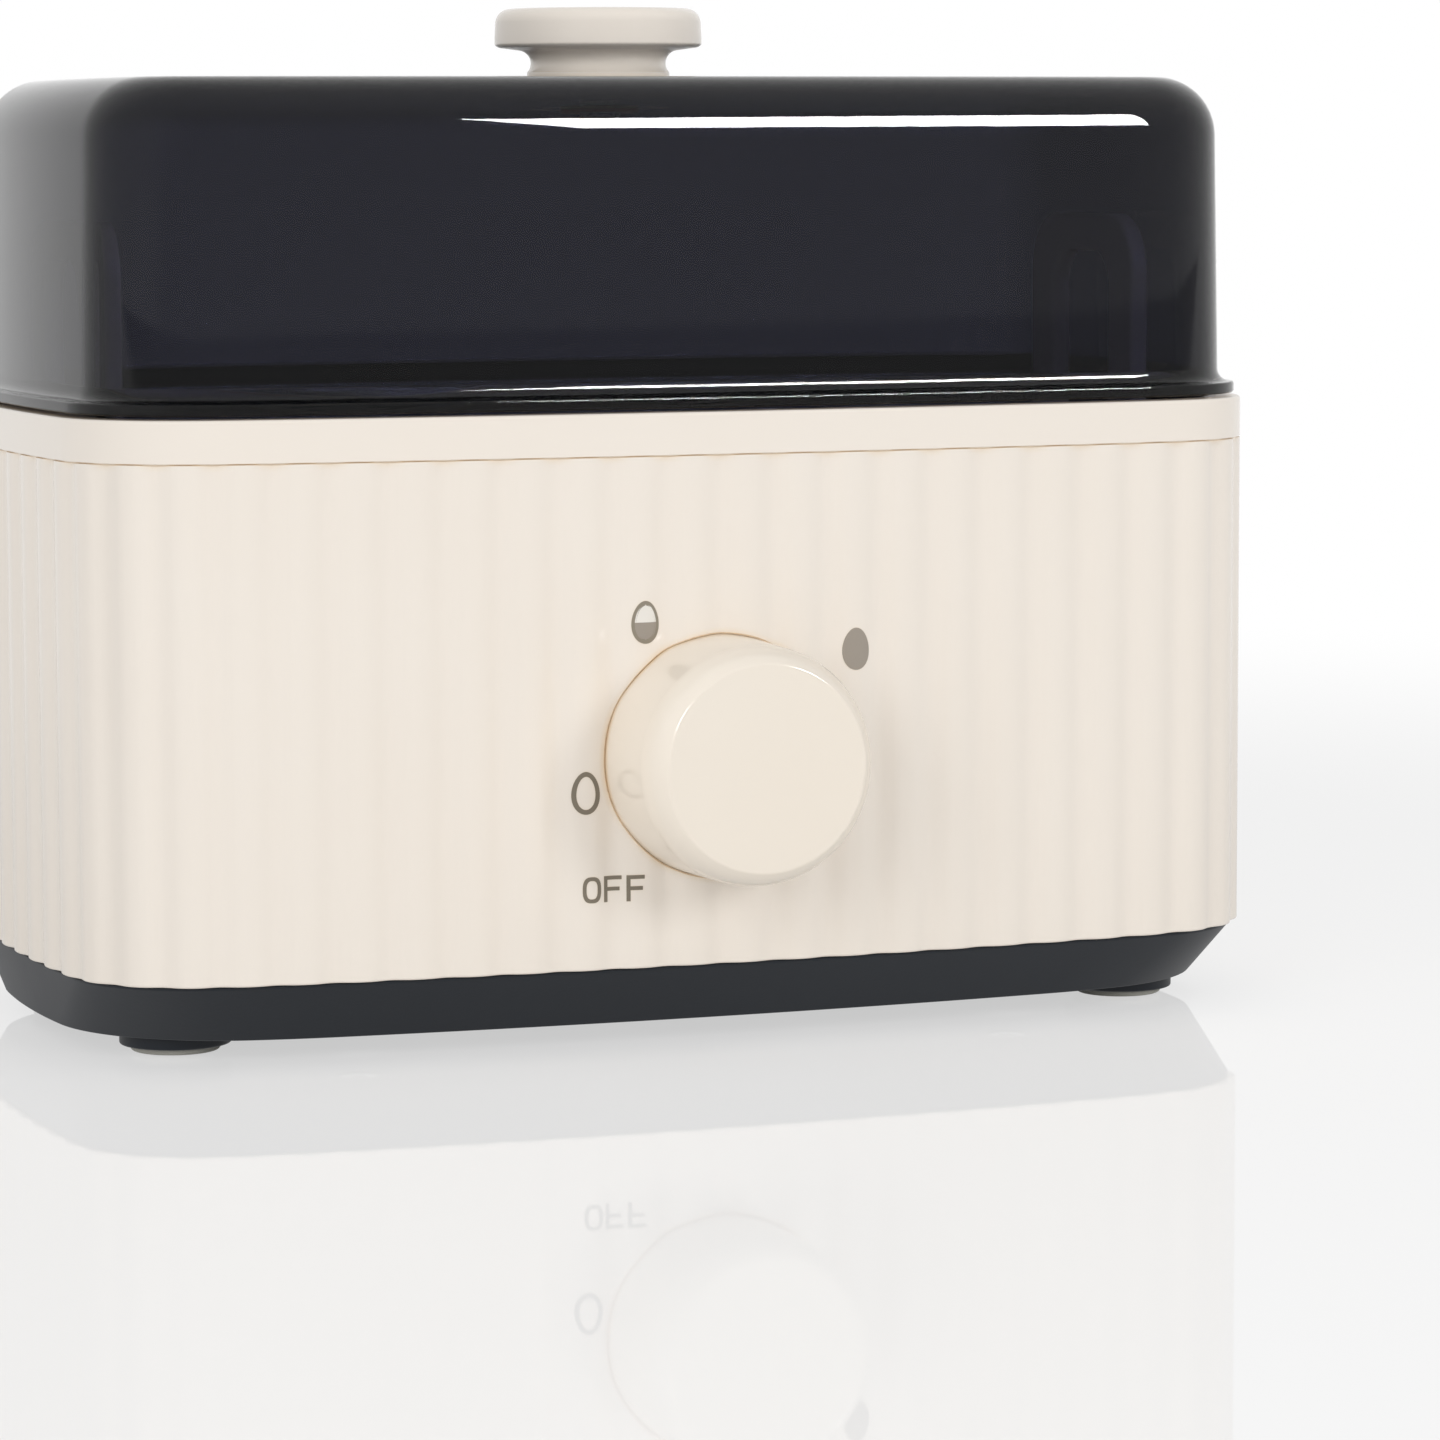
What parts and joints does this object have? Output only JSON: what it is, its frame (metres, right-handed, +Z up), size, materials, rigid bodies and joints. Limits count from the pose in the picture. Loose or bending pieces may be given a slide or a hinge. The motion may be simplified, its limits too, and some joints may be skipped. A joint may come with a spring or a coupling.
{
  "type": "electric egg cooker",
  "caption": "Oblong electric egg cooker with a fluted cream body, a front dial, a heated water pan, a lift-out egg tray and a dark see-through lid.",
  "frame": {"origin": "on the table, under the middle of the part's bounding box", "axes": "+Z up, +X to the right seen from the front, the dial faces -Y"},
  "size_m": [0.19, 0.1288, 0.154],
  "materials": {
    "cream_plastic": "moulded, soft gloss",
    "black_plastic": "moulded, satin",
    "smoke_plastic": "clear smoke, polished",
    "foot_rubber": "soft, matt",
    "silicone": "soft, matt",
    "stainless_steel": "brushed",
    "aluminium": "mill finish",
    "element_sheath": "oxidised, matt",
    "brass": "turned",
    "copper": "drawn",
    "phenolic": "moulded, matt",
    "ceramic": "fired, matt",
    "nylon": "moulded, matt",
    "lead_brown": "soft insulation",
    "lead_white": "glass-fibre sleeve",
    "lead_blue": "soft insulation",
    "lead_green": "soft insulation"
  },
  "bodies": {
    "housing": {"base_pan": "black_plastic", "foot_pads": "foot_rubber", "body_shell": "cream_plastic", "rim_ring": "cream_plastic", "base_screws": "stainless_steel", "heating_pan": "stainless_steel", "pan_seal": "silicone", "heat_spreader": "aluminium", "heating_element": "element_sheath", "element_pins": "stainless_steel", "heat_shield": "aluminium", "pan_clamps": "stainless_steel", "clamp_nuts": "brass", "thermostat": "phenolic", "thermostat_bush": "brass", "bush_nut": "brass", "sensor_bulb": "copper", "bulb_clip": "stainless_steel", "capillary_tube": "copper", "thermal_fuse": "ceramic", "fuse_clip": "stainless_steel", "cord_gland": "black_plastic", "gland_nut": "black_plastic", "cord_clamp": "nylon", "cord_clamp_screws": "stainless_steel", "terminal_block": "nylon", "terminal_screws": "brass", "lead_live": "lead_brown", "lead_switched": "lead_white", "lead_fused": "lead_white", "lead_neutral": "lead_blue", "lead_earth": "lead_green"},
    "dial": {"dial_knob": "cream_plastic", "dial_shaft": "stainless_steel", "knob_clip": "stainless_steel"},
    "tray": {"egg_tray": "cream_plastic", "tray_handle_left": "cream_plastic", "tray_handle_right": "cream_plastic"},
    "lid": {"lid_shell": "smoke_plastic", "lid_pull": "cream_plastic", "lid_pull_screw": "stainless_steel", "lid_pull_washer": "silicone"}
  },
  "joints": [
    {"name": "dial_turn", "type": "hinge", "parent": "housing", "child": "dial", "pos_m": [0, -0.0456, 0.0432], "axis": [0, 1, 0], "range_deg": [0, 191]},
    {"name": "tray_lift", "type": "slide", "parent": "housing", "child": "tray", "axis": [0, 0, 1], "range_m": [0, 0.06]},
    {"name": "lid_lift", "type": "slide", "parent": "tray", "child": "lid", "axis": [0, 0, 1], "range_m": [0, 0.07]}
  ]
}
